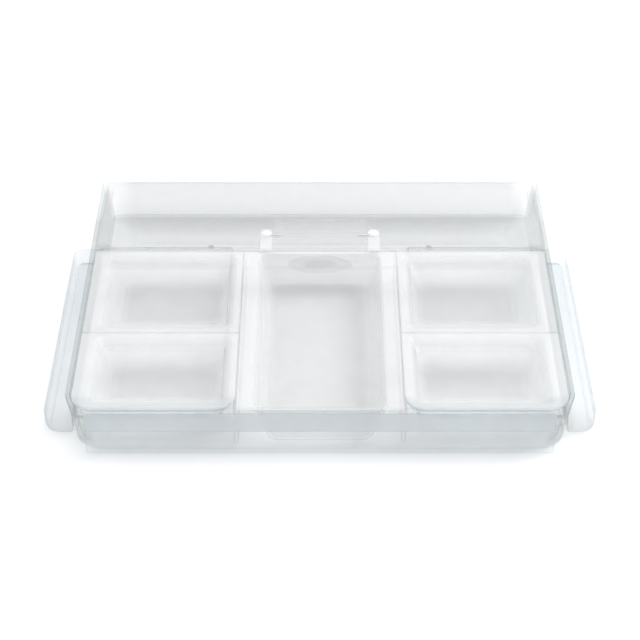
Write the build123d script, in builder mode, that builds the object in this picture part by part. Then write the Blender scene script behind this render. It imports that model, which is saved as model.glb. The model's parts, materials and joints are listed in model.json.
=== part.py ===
"""Clear two-level parts sorting tray.

The upper level holds four lift-out bins, a lift-out tool tray and a wide fixed trough along the back. The lower
level holds two shallow drawers that pull out of the left and right sides.

Frame: +X to the right, +Y to the back, +Z up. The origin is on the table under the middle of the tray.
"""

import os

from build123d import *

# Driving dimensions, in millimetres
rim_width = 260.0
height = 28.0
base_width = 252.0
rim_front_y = -106.0
rim_back_y = 108.0
end_lean = 2.0
front_radius = 14.0
back_radius = 6.0
wall = 2.2
moulding = 1.2
gap = 0.3

# Levels above the table
base_top = 1.8
slot_top = 12.2
lower_level_top = 13.2
ledge_top = 24.3
flange_bottom = ledge_top + gap
flange_top = flange_bottom + moulding
tool_floor = 3.2
well_floor = lower_level_top + moulding

# Plan of the upper level
seam_x = 43.0
seam_y = -40.5
rear_seam_y = 34.5
seam_gap = 0.6
divider = 2.4
ledge_inner = 123.5
ledge_outer = 126.8
divider_front_y = -101.6
well_inner_x = 47.0
well_outer_x = 119.0
well_front_y = -101.4
well_floor_inner_x = 57.0
well_floor_outer_x = 106.0
rim_radius = 5.0
floor_radius = 4.0
front_bin_rim_back_y = -43.0
front_bin_floor_y = (-80.0, -60.0)
rear_bin_rim_front_y = -38.0
rear_bin_floor_y = (-16.0, 14.0)
trough_front_y = 37.0
trough_back_y = 102.5
trough_floor_y = (52.0, 67.0)
tool_rim_x = 33.6
tool_floor_x = 26.0
tool_front_slope = 2.4
tool_back_y = 31.5

# Drawers
drawer_inner_x = 50.5
drawer_outer_x = 128.2
drawer_front_y = -92.5
drawer_back_y = 58.0
drawer_bottom = base_top + gap
drawer_top = 11.6
drawer_wall = 1.4
grip_outer_x = 143.5
grip_bottom = 0.6
grip_top = 10.4
grip_front_radius = 9.0
grip_back_radius = 5.0
groove_radius = 3.0
groove_inset = 6.0
groove_end_margin = 16.0
drawer_divider_drop = 1.0
lug_x = 62.0
lug_length = 3.0
lug_top = 12.7

# Label rail on the front wall, with a blank strip behind its upper half
rail_half_width = 119.5
rail_front_y = -108.0
rail_to_wall = 0.2
rail_back_y = rim_front_y - rail_to_wall
rail_bottom = 0.4
rail_top = 27.6
strip_thickness = 0.4
strip_fit = 0.08
strip_bottom = 14.6
strip_top = 26.4

# Flap and its pivots
arm_inner_x = 27.2
arm_outer_x = 34.2
arm_bottom = flange_top + gap
arm_back_y = 53.0
arm_radius = 1.0
arm_foot_depth = 2.0
arm_foot_inset = 1.0
pivot_y = 48.0
pivot_z = 26.9
flap_half_width = 26.7
flap_front_y = 43.6
flap_back_y = 65.0
flap_thickness = 1.5
flap_radius = 3.0
knuckle_radius = 1.4
pin_radius = 0.6
pin_clearance = 0.1
pin_inner_x = 22.0
pin_outer_x = 31.5
stud_x = 30.7
stud_radius = 3.0
stud_height = 1.4

# Badge on the back wall of the tool tray
badge_half_width = 18.0
badge_half_height = 6.0
badge_thickness = 0.8
badge_z = 18.4

sides = {"left": -1, "right": 1}

os.makedirs("parts", exist_ok=True)


def save(part, name):
    """Label a finished piece and write its STEP file."""
    part.label = name
    export_step(part, f"parts/{name}.step")


def outside_limits(z):
    """Limits along X and Y of the tapering outside of the tray at a height above the table."""
    rise = z / height
    half_width = (base_width + (rim_width - base_width) * rise) / 2
    lean = end_lean * (1 - rise)
    return (-half_width, half_width), (rim_front_y + lean, rim_back_y - lean)


def tray_outline(z, inset=0.0):
    """The tray's plan at a height: a rectangle with wide front corners and tight back ones."""
    x, y = (grown(limits, -inset) for limits in outside_limits(z))
    with BuildSketch() as outline:
        with Locations((sum(x) / 2, sum(y) / 2)):
            Rectangle(max(x) - min(x), max(y) - min(y))
        fillet(outline.vertices().group_by(Axis.Y)[0], front_radius - inset)
        fillet(outline.vertices().group_by(Axis.Y)[-1], back_radius - inset)
    return outline.sketch


def block(x, y, z):
    """A solid box between two limits along each axis."""
    with BuildPart() as solid:
        with Locations((sum(x) / 2, sum(y) / 2, sum(z) / 2)):
            Box(max(x) - min(x), max(y) - min(y), max(z) - min(z))
    return solid.part


def rounded_outline(x, y, radius):
    """A flat rounded rectangle between two limits along X and Y."""
    with BuildSketch() as face:
        with Locations((sum(x) / 2, sum(y) / 2)):
            RectangleRounded(max(x) - min(x), max(y) - min(y), radius)
    return face.sketch


def grown(limits, amount):
    """Two limits moved apart by an amount each."""
    return min(limits) - amount, max(limits) + amount


def make_well(flange, rim, floor, floor_z, rim_radius=rim_radius):
    """A thin well with sloping walls, hung from a flat flange that follows the tray's corners.

    flange, rim and floor are each a pair of limits along X and along Y.
    """
    with BuildPart() as well:
        with BuildSketch(Plane.XY.offset(flange_bottom)):
            add(tray_outline(flange_bottom, wall + gap))
            with Locations((sum(flange[0]) / 2, sum(flange[1]) / 2)):
                Rectangle(
                    max(flange[0]) - min(flange[0]),
                    max(flange[1]) - min(flange[1]),
                    mode=Mode.INTERSECT,
                )
        extrude(amount=moulding)
        outer_rim = [grown(limits, moulding) for limits in rim]
        outer_floor = [grown(limits, moulding) for limits in floor]
        with BuildSketch(Plane.XY.offset(flange_bottom)):
            add(rounded_outline(*outer_rim, rim_radius + moulding))
        with BuildSketch(Plane.XY.offset(floor_z - moulding)):
            add(rounded_outline(*outer_floor, floor_radius + moulding))
        loft()
        with BuildSketch(Plane.XY.offset(flange_top)):
            add(rounded_outline(*rim, rim_radius))
        with BuildSketch(Plane.XY.offset(floor_z)):
            add(rounded_outline(*floor, floor_radius))
        loft(mode=Mode.SUBTRACT)
    return well.part


# Housing: the base plate and the outer wall that stands on it


def make_base_plate():
    with BuildPart() as plate:
        for z in (0, base_top):
            with BuildSketch(Plane.XY.offset(z)):
                add(tray_outline(z))
        loft()
    return plate.part


def make_outer_wall():
    slot_width = rim_width + 2 * wall
    slot_y = grown((drawer_front_y, drawer_back_y), 2 * gap)
    with BuildPart() as ring:
        for z in (base_top, height):
            with BuildSketch(Plane.XY.offset(z)):
                add(tray_outline(z))
        loft()
        for z in (base_top, height):
            with BuildSketch(Plane.XY.offset(z)):
                add(tray_outline(z, wall))
        loft(mode=Mode.SUBTRACT)
        with Locations((0, sum(slot_y) / 2, (base_top + slot_top) / 2)):
            Box(slot_width, max(slot_y) - min(slot_y), slot_top - base_top, mode=Mode.SUBTRACT)
    return ring.part


save(make_base_plate(), "base_plate")
save(make_outer_wall(), "outer_wall")


# Label rail and its blank strip


def make_label_rail():
    """A flat clear rail on the front wall, with a slot for the strip that is open at both ends."""
    rail_x = (-rail_half_width, rail_half_width)
    slot_y = grown(strip_y, strip_fit)
    slot_z = grown((strip_bottom, strip_top), gap)
    with BuildPart() as rail:
        add(block(rail_x, (rail_front_y, rail_back_y), (rail_bottom, rail_top)))
        add(block(rail_x, slot_y, slot_z), mode=Mode.SUBTRACT)
    return rail.part


strip_middle_y = (rail_front_y + rail_back_y) / 2
strip_y = (strip_middle_y - strip_thickness / 2, strip_middle_y + strip_thickness / 2)
strip_x = (gap - rail_half_width, rail_half_width - gap)
save(make_label_rail(), "label_rail")
save(block(strip_x, strip_y, (strip_bottom, strip_top)), "label_strip")


# Dividers and ledges that carry the bins


def make_rear_divider():
    """Full height between the drawers, and raised above them at both ends."""
    bottom_half_width = seam_x + divider / 2
    with BuildPart() as rail:
        with BuildSketch(Plane.XZ.offset(-(rear_seam_y - divider / 2))):
            with Locations((0, (lower_level_top + ledge_top) / 2)):
                Rectangle(2 * ledge_inner - gap, ledge_top - lower_level_top)
            with Locations((0, (base_top + ledge_top) / 2)):
                Rectangle(2 * bottom_half_width, ledge_top - base_top)
        extrude(amount=-divider)
    return rail.part


save(make_rear_divider(), "rear_divider")
for side, sign in sides.items():
    long_x = (sign * (seam_x - divider / 2), sign * (seam_x + divider / 2))
    long_y = (divider_front_y, rear_seam_y - divider / 2)
    save(block(long_x, long_y, (base_top, ledge_top)), f"long_divider_{side}")

    cross_x = (sign * (seam_x + divider / 2), sign * (ledge_inner - gap / 2))
    cross_y = (seam_y - divider / 2, seam_y + divider / 2)
    save(block(cross_x, cross_y, (lower_level_top, ledge_top)), f"cross_divider_{side}")

    ledge_y = (drawer_front_y, trough_back_y - 2 * wall)
    ledge_x = (sign * ledge_inner, sign * ledge_outer)
    save(block(ledge_x, ledge_y, (ledge_top - wall, ledge_top)), f"ledge_{side}")


# Bins: a front and a rear one on each side

beyond_wall = 2 * rim_back_y
bins = {
    "front": {
        "rim": (well_front_y, front_bin_rim_back_y),
        "floor": front_bin_floor_y,
        "flange": (-beyond_wall / 2, seam_y - seam_gap / 2),
    },
    "rear": {
        "rim": (rear_bin_rim_front_y, tool_back_y),
        "floor": rear_bin_floor_y,
        "flange": (seam_y + seam_gap / 2, rear_seam_y - seam_gap / 2),
    },
}

for side, sign in sides.items():
    for row, plan in bins.items():
        flange_x = (sign * (seam_x + seam_gap / 2), sign * rim_width / 2)
        rim_x = (sign * well_inner_x, sign * well_outer_x)
        floor_x = (sign * well_floor_inner_x, sign * well_floor_outer_x)
        bin_part = make_well(
            (flange_x, plan["flange"]),
            (rim_x, plan["rim"]),
            (floor_x, plan["floor"]),
            well_floor,
        )
        save(bin_part, f"bin_{row}_{side}")


# Rear trough


def make_rear_trough():
    return make_well(
        ((-rim_width / 2, rim_width / 2), (rear_seam_y + seam_gap / 2, beyond_wall / 2)),
        ((-well_outer_x, well_outer_x), (trough_front_y, trough_back_y)),
        ((-well_floor_outer_x, well_floor_outer_x), trough_floor_y),
        well_floor,
    )


save(make_rear_trough(), "rear_trough")


# Tool tray with two arms at its back, the flap between them and a plain oval badge


def make_tool_tray():
    half_flange = seam_x - seam_gap / 2
    tray = make_well(
        ((-half_flange, half_flange), (-beyond_wall / 2, rear_seam_y - seam_gap / 2)),
        ((-tool_rim_x, tool_rim_x), (well_front_y, tool_back_y)),
        ((-tool_floor_x, tool_floor_x), (well_front_y + tool_front_slope, tool_back_y)),
        tool_floor,
        rim_radius=floor_radius,
    )
    arm_front_y = tool_back_y + moulding / 2
    with BuildPart() as body:
        add(tray)
        for sign in sides.values():
            arm_x = sign * (arm_inner_x + arm_outer_x) / 2
            with BuildSketch(Plane.XY.offset(arm_bottom)):
                with Locations((arm_x, (arm_front_y + arm_back_y) / 2)):
                    RectangleRounded(arm_outer_x - arm_inner_x, arm_back_y - arm_front_y, arm_radius)
            extrude(amount=height - arm_bottom)
            with BuildSketch(Plane.XY.offset(flange_bottom)):
                with Locations((arm_x, arm_front_y + moulding)):
                    Rectangle(arm_outer_x - arm_inner_x - 2 * arm_foot_inset, arm_foot_depth)
            extrude(amount=height - flange_bottom)
            with BuildSketch(Plane.YZ.offset(sign * (arm_inner_x - gap))):
                with Locations((pivot_y, pivot_z)):
                    Circle(pin_radius)
            extrude(amount=sign * (pin_outer_x - arm_inner_x + gap), mode=Mode.SUBTRACT)
    return body.part


def make_flap():
    with BuildPart() as flap:
        with BuildSketch(Plane.XY.offset(pivot_z - flap_thickness / 2)) as plate:
            with Locations((0, (flap_front_y + flap_back_y) / 2)):
                Rectangle(2 * flap_half_width, flap_back_y - flap_front_y)
            fillet(plate.vertices().group_by(Axis.Y)[-1], flap_radius)
        extrude(amount=flap_thickness)
        with BuildSketch(Plane.YZ.offset(-flap_half_width)):
            with Locations((pivot_y, pivot_z)):
                Circle(knuckle_radius)
        extrude(amount=2 * flap_half_width)
        for sign in sides.values():
            bore_x = pin_inner_x - gap
            with BuildSketch(Plane.YZ.offset(sign * bore_x)):
                with Locations((pivot_y, pivot_z)):
                    Circle(pin_radius + pin_clearance)
            extrude(amount=sign * (flap_half_width - bore_x + gap), mode=Mode.SUBTRACT)
    return flap.part


def make_pins():
    with BuildPart() as pins:
        for sign in sides.values():
            with BuildSketch(Plane.YZ.offset(sign * pin_inner_x)):
                with Locations((pivot_y, pivot_z)):
                    Circle(pin_radius)
            extrude(amount=sign * (pin_outer_x - pin_inner_x))
    return pins.part


def make_studs():
    """Two domed caps on the arms, over the ends of the pins."""
    dome_radius = (stud_radius**2 + stud_height**2) / (2 * stud_height)
    with BuildPart() as studs:
        with Locations(*[(sign * stud_x, pivot_y, height + stud_height - dome_radius) for sign in sides.values()]):
            Sphere(dome_radius)
        with Locations((0, pivot_y, height + stud_height)):
            Box(rim_width, rim_width, 2 * stud_height, mode=Mode.INTERSECT)
    return studs.part


def make_badge():
    with BuildPart() as badge:
        with BuildSketch(Plane.XZ.offset(-tool_back_y)):
            with Locations((0, badge_z)):
                Ellipse(badge_half_width, badge_half_height)
        extrude(amount=badge_thickness)
    return badge.part


save(make_tool_tray(), "tool_tray")
save(make_flap(), "flap")
save(make_pins(), "flap_pins")
save(make_studs(), "flap_studs")
save(make_badge(), "badge")


# Drawers: a shallow open box, its grip outside the wall, a divider inside and two runners on the base plate


def make_drawer(sign):
    x_limits = (sign * drawer_inner_x, sign * drawer_outer_x)
    y_limits = (drawer_front_y, drawer_back_y)
    inside = [grown(limits, -drawer_wall) for limits in (x_limits, y_limits)]
    lug_middle = sign * (lug_x + lug_length / 2)
    lug_ys = (drawer_front_y + drawer_wall / 2, drawer_back_y - drawer_wall / 2)
    with BuildPart() as drawer:
        add(block(x_limits, y_limits, (drawer_bottom, drawer_top)))
        add(block(*inside, (drawer_bottom + moulding, drawer_top)), mode=Mode.SUBTRACT)
        with Locations(*[(lug_middle, y, (drawer_top + lug_top) / 2) for y in lug_ys]):
            Box(lug_length, drawer_wall, lug_top - drawer_top)
    return drawer.part


def make_grip(sign):
    """A thick rounded bar along the drawer's outer end, with a finger groove under its outer edge."""
    width = grip_outer_x - drawer_outer_x
    centre_x = sign * (grip_outer_x + drawer_outer_x) / 2
    with BuildPart() as grip:
        with BuildSketch(Plane.XY.offset(grip_bottom)) as plan:
            with Locations((centre_x, (drawer_front_y + drawer_back_y) / 2)):
                Rectangle(width, drawer_back_y - drawer_front_y)
            for corner, radius in ((0, grip_front_radius), (-1, grip_back_radius)):
                outer = plan.vertices().group_by(Axis.X)[-1 if sign > 0 else 0].sort_by(Axis.Y)
                fillet(outer[corner], radius)
        extrude(amount=grip_top - grip_bottom)
        with BuildSketch(Plane.XZ.offset(groove_end_margin - drawer_back_y)):
            with Locations((sign * (grip_outer_x - groove_inset), grip_bottom)):
                Circle(groove_radius)
        extrude(amount=drawer_back_y - drawer_front_y - 2 * groove_end_margin, mode=Mode.SUBTRACT)
    return grip.part


for side, sign in sides.items():
    save(make_drawer(sign), f"drawer_{side}")
    save(make_grip(sign), f"drawer_grip_{side}")

    inner_x = sign * (drawer_inner_x + drawer_wall)
    outer_x = sign * (drawer_outer_x - drawer_wall)
    middle_y = (drawer_front_y + drawer_back_y) / 2
    divider_y = (middle_y - drawer_wall / 2, middle_y + drawer_wall / 2)
    divider_z = (drawer_bottom + moulding, drawer_top - drawer_divider_drop)
    save(block((inner_x, outer_x), divider_y, divider_z), f"drawer_divider_{side}")

    runner_x = (sign * drawer_inner_x, sign * (base_width / 2 - 2 * wall))
    for end, edge, away in (("front", drawer_front_y, -1), ("rear", drawer_back_y, 1)):
        runner_y = (edge + away * 2 * gap, edge + away * (2 * gap + wall))
        save(block(runner_x, runner_y, (base_top, drawer_top - wall)), f"runner_{end}_{side}")
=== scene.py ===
"""Clear parts sorting tray on a white studio floor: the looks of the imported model, in its own frame."""

import json
import math

import bmesh
import bpy
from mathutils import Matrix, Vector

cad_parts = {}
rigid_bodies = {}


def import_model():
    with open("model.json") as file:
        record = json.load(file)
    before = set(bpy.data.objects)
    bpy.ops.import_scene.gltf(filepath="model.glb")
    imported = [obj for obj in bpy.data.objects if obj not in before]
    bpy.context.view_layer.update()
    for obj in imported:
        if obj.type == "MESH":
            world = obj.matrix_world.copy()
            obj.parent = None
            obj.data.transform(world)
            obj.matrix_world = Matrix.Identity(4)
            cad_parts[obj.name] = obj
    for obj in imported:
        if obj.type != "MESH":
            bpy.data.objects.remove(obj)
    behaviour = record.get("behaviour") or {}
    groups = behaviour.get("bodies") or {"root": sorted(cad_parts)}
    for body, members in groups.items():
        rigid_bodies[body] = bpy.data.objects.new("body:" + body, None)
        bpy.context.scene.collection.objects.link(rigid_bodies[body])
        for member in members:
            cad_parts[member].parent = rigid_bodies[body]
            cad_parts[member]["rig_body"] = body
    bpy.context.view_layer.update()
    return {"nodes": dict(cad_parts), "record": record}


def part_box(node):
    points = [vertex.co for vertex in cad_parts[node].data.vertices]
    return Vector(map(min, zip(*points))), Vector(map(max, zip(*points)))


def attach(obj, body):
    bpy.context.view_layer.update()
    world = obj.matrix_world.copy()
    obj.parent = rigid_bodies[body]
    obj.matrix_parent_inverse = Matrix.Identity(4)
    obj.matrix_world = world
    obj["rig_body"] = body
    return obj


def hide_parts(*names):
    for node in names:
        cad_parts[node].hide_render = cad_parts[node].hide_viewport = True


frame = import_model()

MM = 0.001
SIDES = {"left": -1, "right": 1}
ROWS = ("front", "rear")

# How finely round shapes are divided, when points are one and when an edge is sharp
CORNER_POINTS = 8
EDGE_POINTS = 5
ROUND_POINTS = 32
DOME_STEPS = 8
WELD_DISTANCE = 1e-6
SHARP_ANGLE = math.radians(40)

# Thicknesses and radii
SQUARE_RADIUS = 0.2 * MM
RIM_EDGE = 0.4 * MM
SLAT_EDGE = 0.35 * MM
MOULDING = 1.2 * MM
WALL = 2.2 * MM
FRONT_RADIUS = 14 * MM
BACK_RADIUS = 6 * MM
WELL_RADII = (5 * MM, 4 * MM)
TOOL_WELL_RADII = (4 * MM, 4 * MM)

# Where the wells' rims and floors lie inside the boxes that the frame gives
WELL_FRONT_Y = -101.4 * MM
WELL_BACK_Y = 31.5 * MM
SIDE_RIM_X = 119 * MM
SIDE_FLOOR_X = 106 * MM
BIN_RIM_INSET = 3.7 * MM
BIN_FLOOR_INSET = 13.7 * MM
BIN_Y = {
    "front": {"rim": (WELL_FRONT_Y, -43 * MM), "floor": (-80 * MM, -60 * MM)},
    "rear": {"rim": (-38 * MM, WELL_BACK_Y), "floor": (-16 * MM, 14 * MM)},
}
TROUGH_FLOOR_Y = (52 * MM, 67 * MM)
TOOL_RIM_X = 33.6 * MM
TOOL_FLOOR_X = 26 * MM
RIM_Z = 25.8 * MM


def limits_of(node):
    """A CAD node's limits along X, Y and Z."""
    low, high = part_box(node)
    return tuple((low[axis], high[axis]) for axis in range(3))


def drawer_top():
    """The height of a drawer's rim, below its stop lugs."""
    _, _, z = limits_of("drawer_divider_left")
    return z[1] + MM


# Materials: their parts


def shader_tree(name):
    """A material with no nodes yet. Returns the material, its nodes and its links."""
    material = bpy.data.materials.new(name)
    material.use_nodes = True
    material.node_tree.nodes.clear()
    return material, material.node_tree.nodes, material.node_tree.links


def moulded_noise(nodes, links, scale, distance, strength):
    """Fine unevenness of a surface. Returns the nodes for where a point lies, the noise and the bump."""
    place = nodes.new("ShaderNodeTexCoord")
    noise = nodes.new("ShaderNodeTexNoise")
    noise.inputs["Scale"].default_value = scale
    noise.inputs["Detail"].default_value = 3.0
    links.new(place.outputs["Object"], noise.inputs["Vector"])
    bump = nodes.new("ShaderNodeBump")
    bump.inputs["Distance"].default_value = distance
    bump.inputs["Strength"].default_value = strength
    links.new(noise.outputs["Fac"], bump.inputs["Height"])
    return place, noise, bump


def mapped(nodes, links, value, source, target):
    """A value carried from one range to another."""
    node = nodes.new("ShaderNodeMapRange")
    node.inputs["From Min"].default_value, node.inputs["From Max"].default_value = source
    node.inputs["To Min"].default_value, node.inputs["To Max"].default_value = target
    links.new(value, node.inputs["Value"])
    return node.outputs["Result"]


def tinted(amount, cool=0.0):
    """A grey that lets an amount of light through, a little less of it red when it is cool."""
    return (amount - cool, amount, amount + cool / 2, 1.0)


def ramp(nodes, links, value, stops):
    """A colour that follows a value through a list of (position, colour) stops."""
    node = nodes.new("ShaderNodeValToRGB")
    elements = node.color_ramp.elements
    while len(elements) < len(stops):
        elements.new(0.5)
    for element, (position, colour) in zip(elements, stops):
        element.position = position
        element.color = colour
    links.new(value, node.inputs["Fac"])
    return node.outputs["Color"]


def product(nodes, links, a, b):
    """Two colours multiplied."""
    node = nodes.new("ShaderNodeMix")
    node.data_type = "RGBA"
    node.blend_type = "MULTIPLY"
    node.inputs["Factor"].default_value = 1.0
    links.new(a, node.inputs["A"])
    links.new(b, node.inputs["B"])
    return node.outputs["Result"]


def computed(nodes, links, operation, value, other=None, clamp=False):
    """A sum worked out on one value, with a second value or a plain number where the sum needs one."""
    node = nodes.new("ShaderNodeMath")
    node.operation = operation
    node.use_clamp = clamp
    links.new(value, node.inputs[0])
    if isinstance(other, float):
        node.inputs[1].default_value = other
    elif other is not None:
        links.new(other, node.inputs[1])
    return node.outputs[0]


def along_axis(nodes, links, place, axis):
    """A point's distance along one axis, from where it lies."""
    split = nodes.new("ShaderNodeSeparateXYZ")
    links.new(place, split.inputs["Vector"])
    return split.outputs[axis]


# Materials: clear plastic. levels is (floor z, rim z, floor shade, rim frost): a moulding's floor is
# darkened that much with painted shade, as if it lay in shadow, and its walls take that much more of their
# own colour towards the rim.

FLOOR_SHADE_START = 0.2 * MM
FLOOR_SHADE_END = 1.0 * MM
SLANT_START = 0.35
SLANT_POWER = 4.0
SLANT_SHARE = 0.6
OWN_VARIATION = 0.03
PLASTIC_IOR = 1.5
SPECKLE = 0.994


def light_through(nodes, links, facing, noise, place, face_on, grazing, levels, tint):
    """The colour that one surface lets through: darker at a slant, finely speckled, and darker on a floor
    with painted shade.
    """
    colour = ramp(nodes, links, facing, [(SLANT_START, face_on), (1.0, grazing)])
    speckle = ramp(nodes, links, noise, [(0.35, tinted(SPECKLE)), (0.65, tinted(1.0))])
    colour = product(nodes, links, colour, speckle)
    if levels:
        # Painted shade: the floor of a well is darkened as if it lay in shadow.
        floor_z, _, painted_floor_tint, _ = levels
        source = (floor_z + FLOOR_SHADE_START, floor_z + FLOOR_SHADE_END)
        above = mapped(nodes, links, along_axis(nodes, links, place, "Z"), source, (0.0, 1.0))
        floor_painted_shade = ramp(nodes, links, above, [(0.0, painted_floor_tint), (1.0, tinted(1.0))])
        colour = product(nodes, links, colour, floor_painted_shade)
    return product(nodes, links, colour, tint) if tint else colour


def own_body(nodes, links, noise, normal, own, roughness, tint):
    """The plastic's glossy surface and the colour that it scatters itself."""
    body = nodes.new("ShaderNodeBsdfPrincipled")
    paler = tuple(min(1.0, channel + OWN_VARIATION) for channel in own)
    colour = ramp(nodes, links, noise, [(0.3, own), (0.7, paler)])
    if tint:
        colour = product(nodes, links, colour, tint)
    links.new(colour, body.inputs["Base Color"])
    body.inputs["IOR"].default_value = PLASTIC_IOR
    smoothest, roughest = roughness * 0.6, roughness * 1.5
    gloss = mapped(nodes, links, noise, (0.0, 1.0), (smoothest, roughest))
    links.new(gloss, body.inputs["Roughness"])
    links.new(normal, body.inputs["Normal"])
    return body.outputs["BSDF"]


def own_share(nodes, links, facing, place, frost, levels):
    """How much of the surface shows its own colour: its frost, more at a slant and more towards a rim."""
    blend = nodes.new("ShaderNodeMix")
    blend.data_type = "FLOAT"
    blend.inputs["A"].default_value = frost
    blend.inputs["B"].default_value = SLANT_SHARE
    links.new(computed(nodes, links, "POWER", facing, SLANT_POWER), blend.inputs["Factor"])
    if not levels:
        return blend.outputs["Result"]
    floor_z, rim_z, _, rim_frost = levels
    height = along_axis(nodes, links, place, "Z")
    towards_rim = mapped(nodes, links, height, (floor_z + FLOOR_SHADE_END, rim_z), (0.0, rim_frost))
    return computed(nodes, links, "ADD", blend.outputs["Result"], towards_rim, clamp=True)


def clear_plastic(name, face_on, grazing, own, frost, roughness=0.08, levels=None, shape=None):
    """Thin clear plastic: what shows through it, mixed with a glossy body of its own colour.

    face_on and grazing are the colours that one surface lets through, own is the colour that it scatters,
    and frost is the share of it that scatters. shape gives a tint from where a point lies.
    """
    material, nodes, links = shader_tree(name)
    place, noise, bump = moulded_noise(nodes, links, scale=140.0, distance=0.0004, strength=0.2)
    place, noise, normal = place.outputs["Object"], noise.outputs["Fac"], bump.outputs["Normal"]
    weight = nodes.new("ShaderNodeLayerWeight")
    weight.inputs["Blend"].default_value = 0.5
    facing = weight.outputs["Facing"]
    tint = shape(nodes, links, place) if shape else None

    through = nodes.new("ShaderNodeBsdfTransparent")
    colour = light_through(nodes, links, facing, noise, place, face_on, grazing, levels, tint)
    links.new(colour, through.inputs["Color"])
    mix = nodes.new("ShaderNodeMixShader")
    links.new(own_share(nodes, links, facing, place, frost, levels), mix.inputs["Fac"])
    links.new(through.outputs["BSDF"], mix.inputs[1])
    links.new(own_body(nodes, links, noise, normal, own, roughness, tint), mix.inputs[2])
    output = nodes.new("ShaderNodeOutputMaterial")
    links.new(mix.outputs["Shader"], output.inputs["Surface"])
    return material


def moulding_levels(node, floor_painted_shade, rim_frost):
    """A moulding's floor and rim heights, with how dark its floor's painted shade is and how frosted its
    rim is.
    """
    _, _, z = limits_of(node)
    return z[0] + MOULDING, RIM_Z, tinted(floor_painted_shade), rim_frost


def drawer_levels(rim_frost):
    """Levels that leave a drawer clear, but for the top 2 mm of its walls."""
    band = 2 * MM
    return drawer_top() - band - FLOOR_SHADE_END, drawer_top(), tinted(1.0), rim_frost


# Materials: tints that depend on where a point lies


def trough_back(nodes, links, place):
    """Darkness up the trough's sloping back, short of its two ends, and along its front edge."""
    ends_x, slope_y, edge_y = (113 * MM, 120 * MM), (64 * MM, 84 * MM), (39 * MM, 42 * MM)
    slope_shade, edge_shade, end_share = 0.885, 0.93, 0.5
    sideways = computed(nodes, links, "ABSOLUTE", along_axis(nodes, links, place, "X"))
    at_ends = mapped(nodes, links, sideways, ends_x, (0.0, end_share))
    up_slope = mapped(nodes, links, along_axis(nodes, links, place, "Y"), slope_y, (1.0, 0.0))
    clear = computed(nodes, links, "MAXIMUM", at_ends, up_slope)
    slope = ramp(nodes, links, clear, [(0.0, tinted(slope_shade)), (1.0, tinted(1.0))])
    behind_edge = mapped(nodes, links, along_axis(nodes, links, place, "Y"), edge_y, (0.0, 1.0))
    edge = ramp(nodes, links, behind_edge, [(0.0, tinted(edge_shade)), (1.0, tinted(1.0))])
    return product(nodes, links, slope, edge)


def front_lip(nodes, links, place):
    """A cool tint along the front edge of the front bins."""
    lip_y = (-94 * MM, -91.5 * MM)
    behind = mapped(nodes, links, along_axis(nodes, links, place, "Y"), lip_y, (0.0, 1.0))
    return ramp(nodes, links, behind, [(0.0, tinted(0.925, 0.020)), (1.0, tinted(1.0))])


def grip_end_shadow(nodes, links, place):
    """A warm darkness at the front end of the grips: partly the darker look of the thick end, partly a
    painted shadow.
    """
    _, y, _ = limits_of("drawer_grip_left")
    end_y = (y[0] + 3 * MM, y[0] + 16 * MM)
    behind = mapped(nodes, links, along_axis(nodes, links, place, "Y"), end_y, (0.0, 1.0))
    # Painted shadow, with the thick end's darkness, over the last few millimetres of each grip.
    return ramp(nodes, links, behind, [(0.0, (0.955, 0.948, 0.945, 1.0)), (1.0, tinted(1.0))])


def badge_centre(nodes, links, place):
    """Darkness over a low oval in the middle of the badge."""
    half_width, half_height = 11 * MM, 3.4 * MM
    x, y, z = limits_of("badge")
    spread = nodes.new("ShaderNodeMapping")
    spread.vector_type = "TEXTURE"
    spread.inputs["Location"].default_value = (sum(x) / 2, sum(y) / 2, sum(z) / 2)
    spread.inputs["Scale"].default_value = (half_width, 1.0, half_height)
    links.new(place, spread.inputs["Vector"])
    length = nodes.new("ShaderNodeVectorMath")
    length.operation = "LENGTH"
    links.new(spread.outputs["Vector"], length.inputs[0])
    return ramp(nodes, links, length.outputs["Value"], [(0.75, tinted(0.955)), (1.0, tinted(1.0))])


# Materials: metal, and the material of each slot


def brushed_metal(name, colour):
    """Bright metal with a fine uneven finish."""
    material, nodes, links = shader_tree(name)
    _, noise, bump = moulded_noise(nodes, links, scale=400.0, distance=0.0001, strength=0.4)
    metal = nodes.new("ShaderNodeBsdfPrincipled")
    metal.inputs["Base Color"].default_value = (*colour, 1.0)
    metal.inputs["Metallic"].default_value = 1.0
    gloss = mapped(nodes, links, noise.outputs["Fac"], (0.0, 1.0), (0.2, 0.35))
    links.new(gloss, metal.inputs["Roughness"])
    links.new(bump.outputs["Normal"], metal.inputs["Normal"])
    output = nodes.new("ShaderNodeOutputMaterial")
    links.new(metal.outputs["BSDF"], output.inputs["Surface"])
    return material


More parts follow.
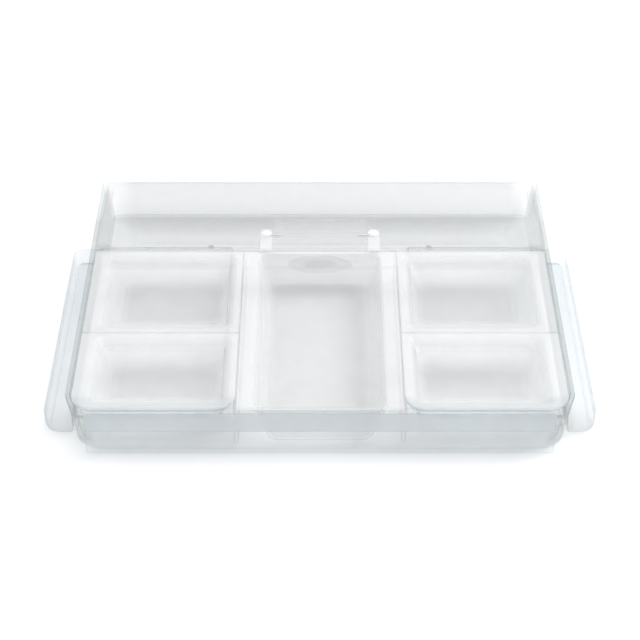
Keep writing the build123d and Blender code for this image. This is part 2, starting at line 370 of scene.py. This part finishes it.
MATERIALS = {
    "clear_shell": clear_plastic(
        "clear_shell", face_on=tinted(0.994), grazing=(0.66, 0.69, 0.68, 1.0),
        own=tinted(0.82, 0.01), frost=0.03,
    ),
    "clear_divider": clear_plastic(
        "clear_divider", face_on=tinted(0.996), grazing=tinted(0.86), own=tinted(0.78), frost=0.03
    ),
    "clear_rail": clear_plastic(
        "clear_rail", face_on=tinted(0.996, 0.004), grazing=tinted(0.92, 0.01),
        own=tinted(0.84, 0.02), frost=0.05,
    ),
    "label_strip": clear_plastic(
        "label_strip", face_on=tinted(0.985, 0.005), grazing=tinted(0.80, 0.02),
        own=tinted(0.72, 0.03), frost=0.35, roughness=0.4,
    ),
    "clear_flap": clear_plastic(
        "clear_flap", face_on=tinted(0.999), grazing=tinted(0.88), own=tinted(0.80), frost=0.06
    ),
    "clear_stud": clear_plastic(
        "clear_stud", face_on=tinted(0.99), grazing=tinted(0.92), own=tinted(0.97), frost=0.75
    ),
    "badge": clear_plastic(
        "badge", face_on=tinted(0.988), grazing=tinted(0.85), own=tinted(0.85), frost=0.10,
        shape=badge_centre,
    ),
    "clear_drawer": clear_plastic(
        "clear_drawer", face_on=tinted(0.999), grazing=tinted(0.90), own=tinted(0.50, 0.02), frost=0.01,
        levels=drawer_levels(0.45),
    ),
    # The grips carry a painted shadow at their front ends.
    "clear_grip": clear_plastic(
        "clear_grip", face_on=tinted(0.974, 0.006), grazing=tinted(0.80, 0.03),
        own=tinted(0.84, 0.03), frost=0.06, shape=grip_end_shadow,
    ),
    "pin_steel": brushed_metal("pin_steel", (0.72, 0.73, 0.75)),
}
# The bins' and the tool tray's levels darken their floors with painted shade; the trough's floor has none.
BIN_MATERIALS = {
    "front": clear_plastic(
        "clear_front_bin", face_on=tinted(0.998), grazing=tinted(0.94), own=tinted(0.89), frost=0.05,
        levels=moulding_levels("bin_front_left", 0.962, 0.34), shape=front_lip,
    ),
    "rear": clear_plastic(
        "clear_rear_bin", face_on=tinted(0.995), grazing=tinted(0.93), own=tinted(0.87), frost=0.05,
        levels=moulding_levels("bin_rear_left", 0.945, 0.27),
    ),
}
TOOL_TRAY_MATERIAL = clear_plastic(
    "clear_tool_tray", face_on=tinted(0.997), grazing=tinted(0.975), own=tinted(0.90), frost=0.05,
    levels=moulding_levels("tool_tray", 0.95, 0.20),
)
TROUGH_MATERIAL = clear_plastic(
    "clear_trough", face_on=tinted(0.993), grazing=tinted(0.92), own=tinted(0.86), frost=0.05,
    levels=moulding_levels("rear_trough", 1.0, 0.10), shape=trough_back,
)


# Mesh building: outlines of the same number of points, joined one to the next


def rounded_outline(x, y, z, front_radius, back_radius=None, outer=None):
    """Points round a rectangle with rounded corners, anticlockwise from the right end of the front edge.

    outer, if given, is the sign of the side whose corners take the radii; the others are nearly square.
    """
    back_radius = front_radius if back_radius is None else back_radius
    corners = (
        (max(x), min(y), front_radius, -90, -1, 1),
        (max(x), max(y), back_radius, 0, -1, -1),
        (min(x), max(y), back_radius, 90, 1, -1),
        (min(x), min(y), front_radius, 180, 1, 1),
    )
    points = []
    for corner_x, corner_y, radius, start, inward_x, inward_y in corners:
        if outer is not None and inward_x == outer:
            radius = SQUARE_RADIUS
        centre = (corner_x + inward_x * radius, corner_y + inward_y * radius)
        for step in range(CORNER_POINTS + 1):
            angle = math.radians(start + 90 * step / CORNER_POINTS)
            points.append((centre[0] + radius * math.cos(angle), centre[1] + radius * math.sin(angle), z))
    return points


def grown(limits, amount):
    """Two limits moved apart by an amount each."""
    return min(limits) - amount, max(limits) + amount


def between(a, b, share):
    """The limits that lie a share of the way from one pair to another."""
    return tuple(low + (high - low) * share for low, high in zip(a, b))


def quarter_round():
    """Pairs (inset, rise) round a quarter circle, from (0, 0) on the side to (1, 1) on the top."""
    angles = [math.radians(90 * step / EDGE_POINTS) for step in range(EDGE_POINTS + 1)]
    return [(1 - math.cos(angle), math.sin(angle)) for angle in angles]


def loft(rings, closed=False):
    """A mesh through a list of outlines, capped at both ends or joined back to its first outline."""
    mesh = bpy.data.meshes.new("loft")
    shape = bmesh.new()
    rows = [[shape.verts.new(point) for point in ring] for ring in rings]
    pairs = list(zip(rows, rows[1:] + rows[:1])) if closed else list(zip(rows, rows[1:]))
    for here, there in pairs:
        for step in range(len(here)):
            after = (step + 1) % len(here)
            shape.faces.new((here[step], here[after], there[after], there[step]))
    if not closed:
        shape.faces.new(rows[0])
        shape.faces.new(rows[-1])
    bmesh.ops.remove_doubles(shape, verts=shape.verts, dist=WELD_DISTANCE)
    bmesh.ops.recalc_face_normals(shape, faces=shape.faces)
    shape.to_mesh(mesh)
    shape.free()
    return mesh


def joined(meshes):
    """Several closed meshes as one."""
    shape = bmesh.new()
    for mesh in meshes:
        shape.from_mesh(mesh)
        bpy.data.meshes.remove(mesh)
    whole = bpy.data.meshes.new("joined")
    shape.to_mesh(whole)
    shape.free()
    return whole


def turned(mesh, swap):
    """The mesh with its axes changed round: swap says where each new coordinate comes from."""
    for vertex in mesh.vertices:
        vertex.co = [vertex.co[axis] for axis in swap]
    shape = bmesh.new()
    shape.from_mesh(mesh)
    bmesh.ops.recalc_face_normals(shape, faces=shape.faces)
    shape.to_mesh(mesh)
    shape.free()
    return mesh


slot_of = {entry["node"]: entry["material_slot"] for entry in frame["record"]["subparts"]}


def add_piece(node, mesh, material=None):
    """Show a mesh in place of a CAD node, on that node's body, in its slot's material or another one."""
    mesh.name = f"{node}_look"
    piece = bpy.data.objects.new(mesh.name, mesh)
    bpy.context.scene.collection.objects.link(piece)
    mesh.materials.append(material or MATERIALS[slot_of[node]])
    mesh.shade_smooth()
    mesh.set_sharp_from_angle(angle=SHARP_ANGLE)
    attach(piece, frame["nodes"][node]["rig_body"])
    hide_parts(node)


def rounded_block(x, y, z, edge, front_radius=None, back_radius=None):
    """A block with all its edges rounded, as a closed mesh."""
    front_radius = edge if front_radius is None else front_radius
    back_radius = edge if back_radius is None else back_radius
    rings = []
    for inset, rise in reversed(quarter_round()):
        rings.append((inset * edge, min(z) + edge - rise * edge))
    for inset, rise in quarter_round():
        rings.append((inset * edge, max(z) - edge + rise * edge))
    outlines = []
    for inset, height in rings:
        radii = [max(radius - inset, SQUARE_RADIUS) for radius in (front_radius, back_radius)]
        outlines.append(rounded_outline(grown(x, -inset), grown(y, -inset), height, *radii))
    return loft(outlines)


# Wells: their sections run from (0, 0) at the rim to (1, 1) at the floor

LIP_REACH = 0.06
FOOT_REACH = 0.16


def bend(corner, reach, before, after):
    """A rounded corner of a section: a curve through reach before and after the corner."""
    points = []
    for step in range(EDGE_POINTS + 1):
        t = step / EDGE_POINTS
        start = [corner[axis] - before[axis] * reach for axis in (0, 1)]
        end = [corner[axis] + after[axis] * reach for axis in (0, 1)]
        weights = ((1 - t) ** 2, 2 * t * (1 - t), t * t)
        points.append(
            tuple(sum(w * p[axis] for w, p in zip(weights, (start, corner, end))) for axis in (0, 1))
        )
    return points


def well_mesh(flange, flange_radii, rim, floor, levels, radii):
    """A thin well: up from the inside of the floor, over the rim and flange, and down the outside.

    levels are the heights of the flange's and the floor's top; radii are the rim's and the floor's corners.
    """
    flange_top, floor_top = levels
    lip = bend((0.0, 0.0), LIP_REACH, (1.0, 0.0), (1.0, 1.0))
    foot = bend((1.0, 1.0), FOOT_REACH, (1.0, 1.0), (1.0, 0.0))
    section = lip + foot

    def wall_ring(point, thickness, drop):
        """The outline at one point of the section, moved out and down for the outside of the wall."""
        inward, down = point
        x, y = (
            between(grown(top, thickness), grown(bottom, thickness), inward)
            for top, bottom in zip(rim, floor)
        )
        share = min(max(inward, 0.0), 1.0)
        radius = radii[0] + (radii[1] - radii[0]) * share + thickness
        return rounded_outline(x, y, flange_top - drop + (floor_top - flange_top) * down, radius)

    def flange_ring(inset, z):
        """The outline of the flange's edge at one height."""
        x, y = (grown(limits, -inset) for limits in flange)
        return rounded_outline(x, y, z, *(max(radius - inset, SQUARE_RADIUS) for radius in flange_radii))

    rings = [wall_ring(point, 0.0, 0.0) for point in reversed(section)]
    for inset, rise in reversed(quarter_round()):
        rings.append(flange_ring(inset * RIM_EDGE, flange_top - RIM_EDGE * (1 - rise)))
    rings.append(flange_ring(0.0, flange_top - MOULDING))
    rings += [wall_ring(point, MOULDING, MOULDING) for point in section]
    return loft(rings)


def make_bin(row, side, sign):
    """One lift-out bin, with its front corners rounded like the wall's when it is a front bin."""
    node = f"bin_{row}_{side}"
    x, y, z = limits_of(node)
    inner = min(x, key=abs)
    rim_x = sorted((inner + sign * BIN_RIM_INSET, sign * SIDE_RIM_X))
    floor_x = sorted((inner + sign * BIN_FLOOR_INSET, sign * SIDE_FLOOR_X))
    plan = BIN_Y[row]
    corner = (FRONT_RADIUS - WALL if row == "front" else SQUARE_RADIUS, SQUARE_RADIUS)
    heights = (z[1], z[0] + MOULDING)
    mesh = well_mesh((x, y), corner, (rim_x, plan["rim"]), (floor_x, plan["floor"]), heights, WELL_RADII)
    add_piece(node, mesh, BIN_MATERIALS[row])


def make_trough():
    """The wide well along the back."""
    x, y, z = limits_of("rear_trough")
    rim = ((-SIDE_RIM_X, SIDE_RIM_X), (y[0] + 2.2 * MM, y[1] - 3.0 * MM))
    floor = ((-SIDE_FLOOR_X, SIDE_FLOOR_X), TROUGH_FLOOR_Y)
    corner = (SQUARE_RADIUS, BACK_RADIUS - WALL)
    mesh = well_mesh((x, y), corner, rim, floor, (z[1], z[0] + MOULDING), WELL_RADII)
    add_piece("rear_trough", mesh, TROUGH_MATERIAL)


def tool_well(flange_top):
    """The tool tray's long well, with flanges that stop short of its arms."""
    x, y, z = limits_of("tool_tray")
    flange_back = WELL_BACK_Y + 2.7 * MM
    floor_front, floor_back = WELL_FRONT_Y + 2.4 * MM, WELL_BACK_Y - 0.6 * MM
    rim = ((-TOOL_RIM_X, TOOL_RIM_X), (WELL_FRONT_Y, WELL_BACK_Y))
    floor = ((-TOOL_FLOOR_X, TOOL_FLOOR_X), (floor_front, floor_back))
    corner = (SQUARE_RADIUS, SQUARE_RADIUS)
    heights = (flange_top, z[0] + MOULDING)
    return well_mesh((x, (y[0], flange_back)), corner, rim, floor, heights, TOOL_WELL_RADII)


def tool_arm(sign, flange_top):
    """One of the two arms that hold the flap's pins, on the post that joins it to the well."""
    _, y, z = limits_of("tool_tray")
    inner_x, outer_x = 27.2 * MM, 34.2 * MM
    arm_x = sorted((sign * inner_x, sign * outer_x))
    arm_y = (WELL_BACK_Y + 0.6 * MM, y[1])
    arm_bottom = flange_top + 0.3 * MM
    arm_edge, front_radius, back_radius = 0.5 * MM, 0.8 * MM, 2.5 * MM
    arm = rounded_block(arm_x, arm_y, (arm_bottom, z[1]), arm_edge, front_radius, back_radius)
    post_x = grown(arm_x, -1.2 * MM)
    post_y = (WELL_BACK_Y + 0.9 * MM, WELL_BACK_Y + 2.5 * MM)
    post = rounded_block(post_x, post_y, (flange_top, z[1] - MM), SQUARE_RADIUS)
    return [arm, post]


def make_tool_tray():
    """The long middle well, with two arms on posts behind it that hold the flap's pins."""
    flange_top = limits_of("bin_front_left")[2][1]
    meshes = [tool_well(flange_top)]
    for sign in SIDES.values():
        meshes += tool_arm(sign, flange_top)
    add_piece("tool_tray", joined(meshes), TOOL_TRAY_MATERIAL)


for side, sign in SIDES.items():
    for row in ROWS:
        make_bin(row, side, sign)
make_trough()
make_tool_tray()


# Flap, studs, pins and badge


def lathe(profile, centre, along):
    """A closed round body: profile is pairs (distance along the axis, radius), from end to end."""
    rings = []
    for distance, radius in profile:
        ring = []
        for step in range(ROUND_POINTS):
            angle = 2 * math.pi * step / ROUND_POINTS
            ring.append((radius * math.cos(angle), radius * math.sin(angle), distance))
        rings.append(ring)
    mesh = loft(rings)
    if along == "x":
        turned(mesh, (2, 0, 1))
    for vertex in mesh.vertices:
        vertex.co = [value + offset for value, offset in zip(vertex.co, centre)]
    return mesh


def make_flap():
    """A flat plate with a round knuckle along its hinge line and a raised lip near its free edge."""
    x, y, z = limits_of("flap")
    _, pin_y, pin_z = limits_of("flap_pins")
    centre_y, centre_z = sum(pin_y) / 2, sum(pin_z) / 2
    knuckle = (z[1] - z[0]) / 2
    half, plate_edge, hinge_radius, free_radius = 0.75 * MM, 0.45 * MM, 0.6 * MM, 3.0 * MM
    plate = rounded_block(x, y, (centre_z - half, centre_z + half), plate_edge, hinge_radius, free_radius)
    lip_y = (y[1] - 4.2 * MM, y[1] - 2.6 * MM)
    lip_edge = 0.5 * MM
    lip = rounded_block(grown(x, -4 * MM), lip_y, (centre_z, z[1] - 0.1 * MM), lip_edge)
    length = x[1] - x[0]
    bevel = 0.4 * MM
    ends = [(0.0, knuckle - bevel), (bevel, knuckle), (length - bevel, knuckle), (length, knuckle - bevel)]
    barrel = lathe(ends, (x[0], centre_y, centre_z), "x")
    add_piece("flap", joined([plate, lip, barrel]))


def make_pins():
    """Two short steel pins with bevelled ends."""
    x, y, z = limits_of("flap_pins")
    radius = (z[1] - z[0]) / 2
    length = 9.5 * MM
    bevel = 0.15 * MM
    profile = [(0.0, radius - bevel), (bevel, radius), (length - bevel, radius), (length, radius - bevel)]
    centre = (sum(y) / 2, sum(z) / 2)
    pins = [lathe(profile, (start, *centre), "x") for start in (x[0], x[1] - length)]
    add_piece("flap_pins", joined(pins))


def make_studs():
    """Two domed caps, each with a flat collar."""
    x, y, z = limits_of("flap_studs")
    radius = (y[1] - y[0]) / 2
    height = z[1] - z[0]
    collar = 0.35 * MM
    bevel = 0.1 * MM
    dome_radius = radius * 0.88
    smallest_share = 0.02
    profile = [(0.0, radius - bevel), (bevel, radius), (collar, radius), (collar, dome_radius)]
    for step in range(1, DOME_STEPS + 1):
        angle = math.radians(90 * step / DOME_STEPS)
        share = max(math.cos(angle), smallest_share)
        profile.append((collar + (height - collar) * math.sin(angle), dome_radius * share))
    studs = [lathe(profile, (at, sum(y) / 2, z[0]), "z") for at in (x[0] + radius, x[1] - radius)]
    add_piece("flap_studs", joined(studs))


def make_badge():
    """A blank oval with a raised border: its profile is pairs (inset, share of its thickness)."""
    x, y, z = limits_of("badge")
    half_width, half_height = (x[1] - x[0]) / 2, (z[1] - z[0]) / 2
    thickness = y[1] - y[0]
    side = [(0.0, 0.0), (0.0, 0.7), (0.25 * MM, 1.0)]
    border = [(0.9 * MM, 1.0), (1.4 * MM, 0.75)]
    middle = [(1.8 * MM, 0.45), (2.4 * MM, 0.4)]
    rings = []
    for inset, rise in side + border + middle:
        ring = []
        for step in range(ROUND_POINTS * 2):
            angle = math.pi * step / ROUND_POINTS
            across = (half_width - inset) * math.cos(angle)
            up = (half_height - inset) * math.sin(angle)
            ring.append((across, y[1] - thickness * rise, sum(z) / 2 + up))
        rings.append(ring)
    add_piece("badge", loft(rings))


make_flap()
make_pins()
make_studs()
make_badge()


# Housing: outer wall with a rolled rim and drawer slots, base plate, label rail and strip


def wall_outline(x, y, z, inset, slot_y):
    """The wall's outline with four extra points on its straight sides, at the ends of the drawer slots."""
    points = rounded_outline(
        grown(x, -inset), grown(y, -inset), z,
        max(FRONT_RADIUS - inset, SQUARE_RADIUS), max(BACK_RADIUS - inset, SQUARE_RADIUS),
    )
    per_corner = CORNER_POINTS + 1
    right_x, left_x = points[CORNER_POINTS][0], points[2 * per_corner + CORNER_POINTS][0]
    right = [(right_x, at, z) for at in slot_y]
    left = [(left_x, at, z) for at in reversed(slot_y)]
    return points[:per_corner] + right + points[per_corner:3 * per_corner] + left + points[3 * per_corner:]


def make_outer_wall():
    """Leaning walls with a rounded bead along the rim, open at the drawer slots."""
    x, y, z = limits_of("outer_wall")
    _, drawer_y, _ = limits_of("drawer_left")
    slot_y = grown(drawer_y, 0.6 * MM)
    slot_top = 12.2 * MM
    bead = 0.9 * MM
    lean_x, lean_y = 4 * MM, 2 * MM

    def limits_at(height):
        """The leaning wall's limits along X and Y at one height."""
        drop = (z[1] - height) / z[1]
        return grown(x, -lean_x * drop), grown(y, -lean_y * drop)

    levels = [z[0], z[0] + 0.3 * MM, slot_top, z[1] - 4 * bead, z[1] - 3.4 * bead]
    outside = [(level, 0.0) for level in levels]
    outside += [(z[1] - bead + bead * rise, bead * inset) for inset, rise in quarter_round()]
    inside = [(z[1] - bead + bead * rise, WALL - bead * inset) for inset, rise in reversed(quarter_round())]
    inside += [(slot_top, WALL), (z[0], WALL)]
    rings = [wall_outline(*limits_at(height), height, inset, slot_y) for height, inset in outside + inside]
    mesh = loft(rings, closed=True)
    cut_slots(mesh, slot_y, slot_top)
    add_piece("outer_wall", mesh)


def cut_slots(mesh, slot_y, slot_top):
    """Cut the side walls below slot_top between the two ends of the slot, and fill round the cut.

    Known fault: the fill also leaves faces across about half of each slot, which should be open.
    """
    shape = bmesh.new()
    shape.from_mesh(mesh)
    tolerance = 1e-5
    side_wall_x = 100 * MM

    def in_slot(face):
        """Whether a face of a side wall lies within the slot."""
        middle = face.calc_center_median()
        level = all(vertex.co.z < slot_top + tolerance for vertex in face.verts)
        along = slot_y[0] - tolerance < middle.y < slot_y[1] + tolerance
        return level and along and abs(middle.x) > side_wall_x

    removed = [face for face in shape.faces if in_slot(face)]
    bmesh.ops.delete(shape, geom=removed, context="FACES")
    bmesh.ops.holes_fill(shape, edges=[edge for edge in shape.edges if edge.is_boundary])
    bmesh.ops.recalc_face_normals(shape, faces=shape.faces)
    shape.to_mesh(mesh)
    shape.free()


def make_base_plate():
    """A plate with rounded edges that the wall stands on."""
    x, y, z = limits_of("base_plate")
    edge = 0.5 * MM
    add_piece("base_plate", rounded_block(x, y, z, edge, FRONT_RADIUS, BACK_RADIUS))


def make_label_rail():
    """A flat tube along the front wall: its section is a rounded frame round the strip's slot."""
    x, y, z = limits_of("label_rail")
    _, strip_y, strip_z = limits_of("label_strip")
    slot_y, slot_z = grown(strip_y, 0.05 * MM), grown(strip_z, 0.25 * MM)
    slot_radius = 0.05 * MM
    edge = 0.3 * MM
    rings = []
    for at, inset in ((x[0], edge), (x[0] + edge, 0.0), (x[1] - edge, 0.0), (x[1], edge)):
        rings.append(rounded_outline(grown(y, -inset / 2), grown(z, -inset), at, edge))
    for at in (x[1], x[0]):
        rings.append(rounded_outline(slot_y, slot_z, at, slot_radius))
    add_piece("label_rail", turned(loft(rings, closed=True), (2, 0, 1)))


def make_label_strip():
    """A thin blank film with softened edges."""
    edge = 0.12 * MM
    add_piece("label_strip", rounded_block(*limits_of("label_strip"), edge))


make_outer_wall()
make_base_plate()
make_label_rail()
make_label_strip()


# Dividers, ledges and runners


def make_rear_divider():
    """A plate with a deep middle and shallow ends that pass over the drawers."""
    x, y, z = limits_of("rear_divider")
    long_x, _, _ = limits_of("long_divider_right")
    _, _, cross_z = limits_of("cross_divider_left")
    edge = 0.3 * MM
    ends = rounded_block(x, y, (cross_z[0], z[1]), edge)
    middle_y = grown(y, -0.02 * MM)
    middle = rounded_block((-long_x[1], long_x[1]), middle_y, (z[0], cross_z[0] + MM), edge)
    add_piece("rear_divider", joined([ends, middle]))


def make_slat(node):
    """A flat divider, ledge or runner with its edges rounded."""
    add_piece(node, rounded_block(*limits_of(node), SLAT_EDGE))


make_rear_divider()
for side in SIDES:
    for kind in ("long_divider", "cross_divider", "ledge", "runner_front", "runner_rear"):
        make_slat(f"{kind}_{side}")


# Drawers


def drawer_box(x, y, bottom, top, wall):
    """A shallow open box: a cove round its floor, a rounded rim and a rounded bottom edge."""
    floor_top = bottom + MOULDING
    cove = 1.2 * MM
    edge = 0.4 * MM
    corner, smallest_corner = 1.6 * MM, 0.5 * MM
    inner_rim = ((0.0, 0.0), (0.5, 0.87), (1.0, 1.0))
    curve = quarter_round()
    rings = [(floor_top + cove - cove * rise, wall + cove * inset) for inset, rise in reversed(curve)]
    rings += [(top - edge + edge * rise, wall - edge * inset) for inset, rise in inner_rim]
    rings += [(top - edge + edge * rise, edge * inset) for inset, rise in reversed(curve)]
    rings += [(bottom + edge - edge * rise, edge * inset) for inset, rise in curve]
    outlines = []
    for height, inset in rings:
        radius = max(corner - inset, smallest_corner)
        outlines.append(rounded_outline(grown(x, -inset), grown(y, -inset), height, radius))
    return loft(outlines)


def make_drawer(side, sign):
    """The open box and a stop lug on each of its end walls."""
    node = f"drawer_{side}"
    x, y, z = limits_of(node)
    top = drawer_top()
    wall = 1.4 * MM
    lug_edge = 0.3 * MM
    inner_x, outer_x = 62 * MM, 65 * MM
    lug_x = sorted((sign * inner_x, sign * outer_x))
    meshes = [drawer_box(x, y, z[0], top, wall)]
    for at in (y[0], y[1] - wall):
        meshes.append(rounded_block(lug_x, (at, at + wall), (top - MM, z[1]), lug_edge))
    add_piece(node, joined(meshes))


def make_grip(side, sign):
    """A thick clear bar with rounded edges, hollowed a little underneath for the fingertips."""
    node = f"drawer_grip_{side}"
    x, y, z = limits_of(node)
    edge = 1.4 * MM
    smallest_corner = 0.6 * MM
    corners = (9 * MM, 5 * MM)
    hollow = ((2.4 * MM, 4.2 * MM), (2.0 * MM, 3.6 * MM), (0.3 * MM, 3.0 * MM), (0.0, 2.6 * MM))
    rings = [(z[0] + height, inset) for height, inset in hollow]
    rings += [(z[0] + edge - edge * rise, edge * inset) for inset, rise in reversed(quarter_round())]
    rings += [(z[1] - edge + edge * rise, edge * inset) for inset, rise in quarter_round()]
    outlines = []
    for height, inset in rings:
        radii = [max(radius - inset, smallest_corner) for radius in corners]
        outlines.append(rounded_outline(grown(x, -inset), grown(y, -inset), height, *radii, sign))
    add_piece(node, loft(outlines))


for side, sign in SIDES.items():
    make_drawer(side, sign)
    make_grip(side, sign)
    make_slat(f"drawer_divider_{side}")


# Studio: floor, lights and camera


FLOOR_HALF = 4.0
FLOOR_DROP = 0.2 * MM
CAMERA_PLACE = (0.0, -0.7595, 0.596)
CAMERA_ELEVATION = 38
CAMERA_LENS = 96.7
SENSOR_WIDTH = 36.0


def make_floor():
    """A plain white floor, just under the tray."""
    material, nodes, links = shader_tree("studio_floor")
    paint = nodes.new("ShaderNodeBsdfDiffuse")
    paint.inputs["Color"].default_value = (0.97, 0.97, 0.97, 1.0)
    output = nodes.new("ShaderNodeOutputMaterial")
    links.new(paint.outputs["BSDF"], output.inputs["Surface"])
    corners = [(x * FLOOR_HALF, y * FLOOR_HALF, 0) for x, y in ((-1, -1), (1, -1), (1, 1), (-1, 1))]
    mesh = bpy.data.meshes.new("studio_floor")
    mesh.from_pydata(corners, [], [(0, 1, 2, 3)])
    mesh.materials.append(material)
    floor = bpy.data.objects.new("studio_floor", mesh)
    floor.location.z = -FLOOR_DROP
    bpy.context.scene.collection.objects.link(floor)


def make_light(name, location, size, power):
    """A round soft light that shines at the middle of the tray."""
    light = bpy.data.lights.new(name, "AREA")
    light.shape = "DISK"
    light.size = size
    light.energy = power
    lamp = bpy.data.objects.new(name, light)
    lamp.location = location
    lamp.rotation_mode = "QUATERNION"
    lamp.rotation_quaternion = (-lamp.location).to_track_quat("-Z", "Y")
    bpy.context.scene.collection.objects.link(lamp)


def make_world(strength):
    """Even, faintly cool light from all round."""
    world = bpy.data.worlds.new("studio")
    world.use_nodes = True
    background = world.node_tree.nodes["Background"]
    background.inputs["Color"].default_value = (0.985, 1.0, 1.02, 1.0)
    background.inputs["Strength"].default_value = strength
    bpy.context.scene.world = world


def make_camera():
    """A camera in front of the tray that looks down at it."""
    camera = bpy.data.cameras.new("camera")
    camera.lens = CAMERA_LENS
    camera.sensor_width = SENSOR_WIDTH
    holder = bpy.data.objects.new("camera", camera)
    holder.location = CAMERA_PLACE
    holder.rotation_euler = (math.radians(90 - CAMERA_ELEVATION), 0.0, 0.0)
    bpy.context.scene.collection.objects.link(holder)
    bpy.context.scene.camera = holder


make_floor()
make_world(strength=0.85)
make_light("fill_left", location=(-0.7, 0.0, 0.5), size=0.8, power=0.6)
make_light("key_right", location=(0.9, 0.3, 1.0), size=0.8, power=7.0)
make_light("overhead", location=(0.1, 0.0, 1.4), size=1.2, power=3.5)
make_camera()
bpy.context.scene.view_settings.view_transform = "Standard"
bpy.context.scene.cycles.transparent_max_bounces = 64

bpy.context.view_layer.update()
